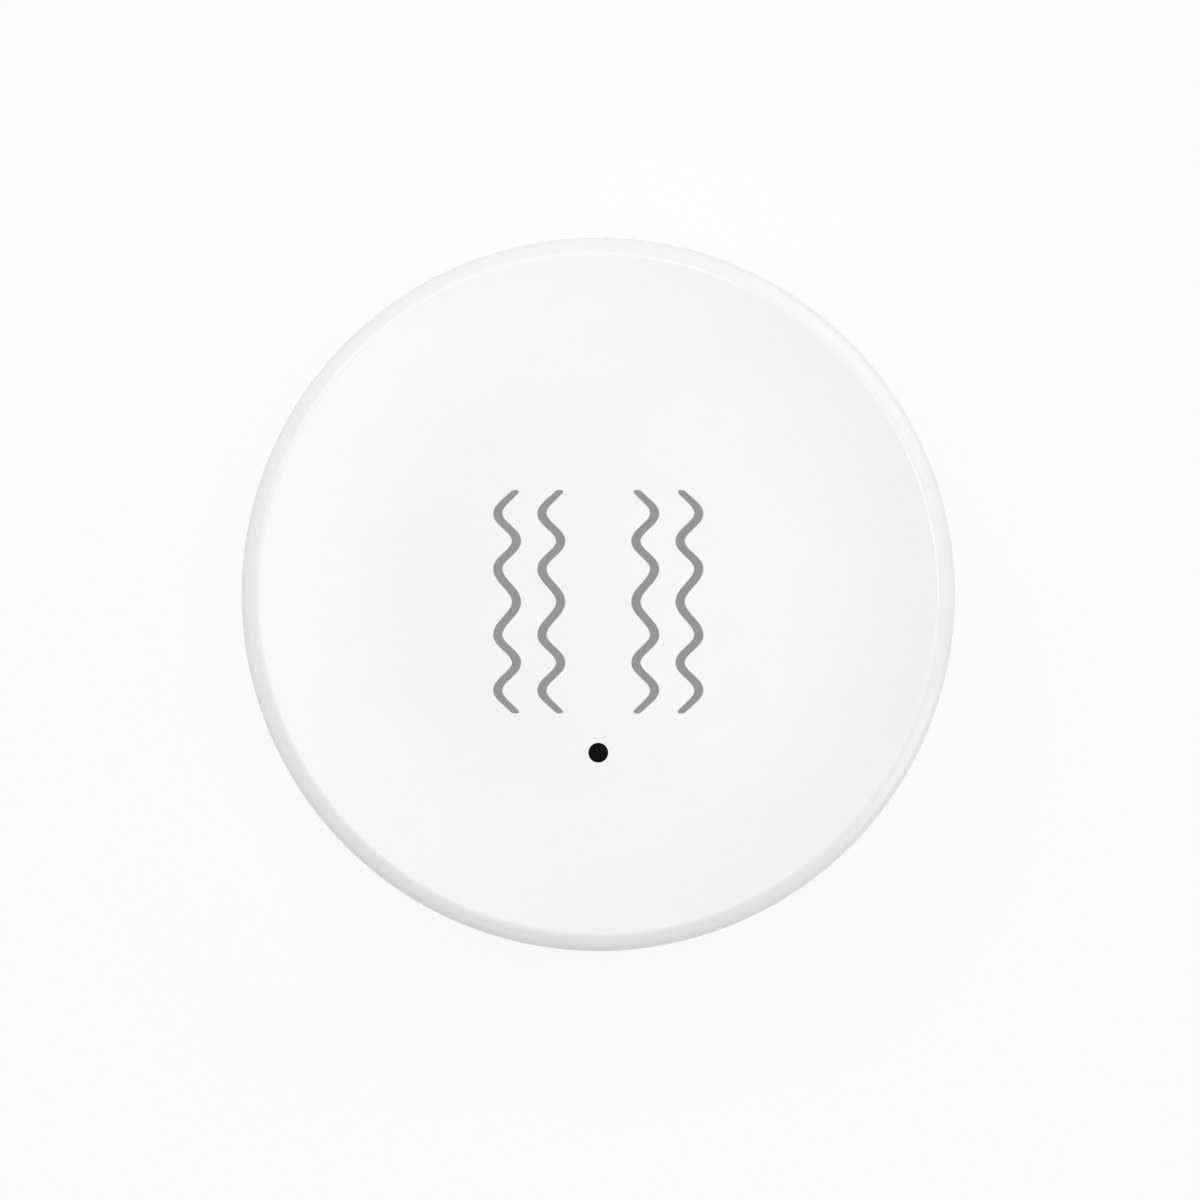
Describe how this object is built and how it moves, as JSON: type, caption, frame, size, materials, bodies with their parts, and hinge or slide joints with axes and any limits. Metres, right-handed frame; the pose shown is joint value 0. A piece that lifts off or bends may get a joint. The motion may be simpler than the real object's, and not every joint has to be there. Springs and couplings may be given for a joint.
{
  "type": "vibration sensor tag",
  "caption": "Round white battery tag with a dished face, wave marks and a light window, that sticks to a surface and reports vibration; its front cover turns off.",
  "frame": {"origin": "centre of the adhesive pad's outer face", "axes": "+Z out of the face, +Y to the top of the wave marks, +X to the right as the face is seen"},
  "size_m": [0.064, 0.064, 0.0194],
  "materials": {
    "cover_plastic": "fine satin white",
    "base_plastic": "fine satin white",
    "pad_foam": "matt foam",
    "seal_silicone": "satin",
    "grey_ink": "matt print",
    "smoked_plastic": "polished",
    "board_laminate": "solder mask",
    "screw_steel": "zinc plated",
    "tray_plastic": "moulded",
    "cell_metal": "bright",
    "cell_print": "gloss sleeve",
    "contact_nickel": "nickel plated",
    "module_laminate": "solder mask",
    "shield_tin": "tinned",
    "chip_epoxy": "moulded epoxy",
    "crystal_lid": "plated lid",
    "led_resin": "resin",
    "clear_plastic": "clear",
    "switch_black": "moulded",
    "button_plastic": "moulded",
    "dip_plastic": "moulded",
    "can_metal": "drawn can",
    "ceramic": "sintered",
    "solder_tin": "tinned"
  },
  "bodies": {
    "base": {"base": "base_plastic", "adhesive_pad": "pad_foam", "circuit_board": "board_laminate", "board_screws": "screw_steel", "battery_tray": "tray_plastic", "cell_a": "cell_metal", "cell_a_sleeve": "cell_print", "cell_b": "cell_metal", "cell_b_sleeve": "cell_print", "negative_terminal": "contact_nickel", "negative_spring": "contact_nickel", "positive_terminal": "contact_nickel", "bridge_plate": "contact_nickel", "bridge_spring": "contact_nickel", "radio_module": "module_laminate", "radio_shield": "shield_tin", "radio_chip": "chip_epoxy", "radio_crystal": "crystal_lid", "accelerometer": "chip_epoxy", "status_led": "led_resin", "light_pipe": "clear_plastic", "tact_switch": "switch_black", "tact_plate": "shield_tin", "dip_switch": "dip_plastic", "switch_legs": "solder_tin", "buffer_capacitor": "can_metal", "capacitor_foot": "switch_black", "voltage_regulator": "chip_epoxy", "chip_capacitors": "ceramic", "chip_resistors": "chip_epoxy", "chip_ends": "solder_tin"},
    "cover_seal": {"seal_ring": "seal_silicone"},
    "cover": {"front_cover": "cover_plastic", "wave_marks": "grey_ink", "led_lens": "smoked_plastic"},
    "pair_button": {"button_cap": "button_plastic", "tact_plunger": "switch_black"},
    "slider_1": {"dip_slider_1": "button_plastic"},
    "slider_2": {"dip_slider_2": "button_plastic"}
  },
  "joints": [
    {"name": "cover_lift", "type": "slide", "parent": "base", "child": "cover_seal", "axis": [0, 0, 1], "range_m": [0, 0.036]},
    {"name": "cover_twist", "type": "hinge", "parent": "cover_seal", "child": "cover", "pos_m": [0, 0, 0], "axis": [0, 0, 1], "range_deg": [0, 1080]},
    {"name": "pair_press", "type": "slide", "parent": "base", "child": "pair_button", "axis": [0, 0, -1], "range_m": [0, 0.0003], "stiffness_N_per_m": 2000},
    {"name": "slide_1", "type": "slide", "parent": "base", "child": "slider_1", "axis": [0, 1, 0], "range_m": [0, 0.0018]},
    {"name": "slide_2", "type": "slide", "parent": "base", "child": "slider_2", "axis": [0, 1, 0], "range_m": [0, 0.0018]}
  ],
  "couplings": [
    {"joint": "cover_lift", "follows": "cover_twist", "m_per_rad": 0.0019099}
  ]
}
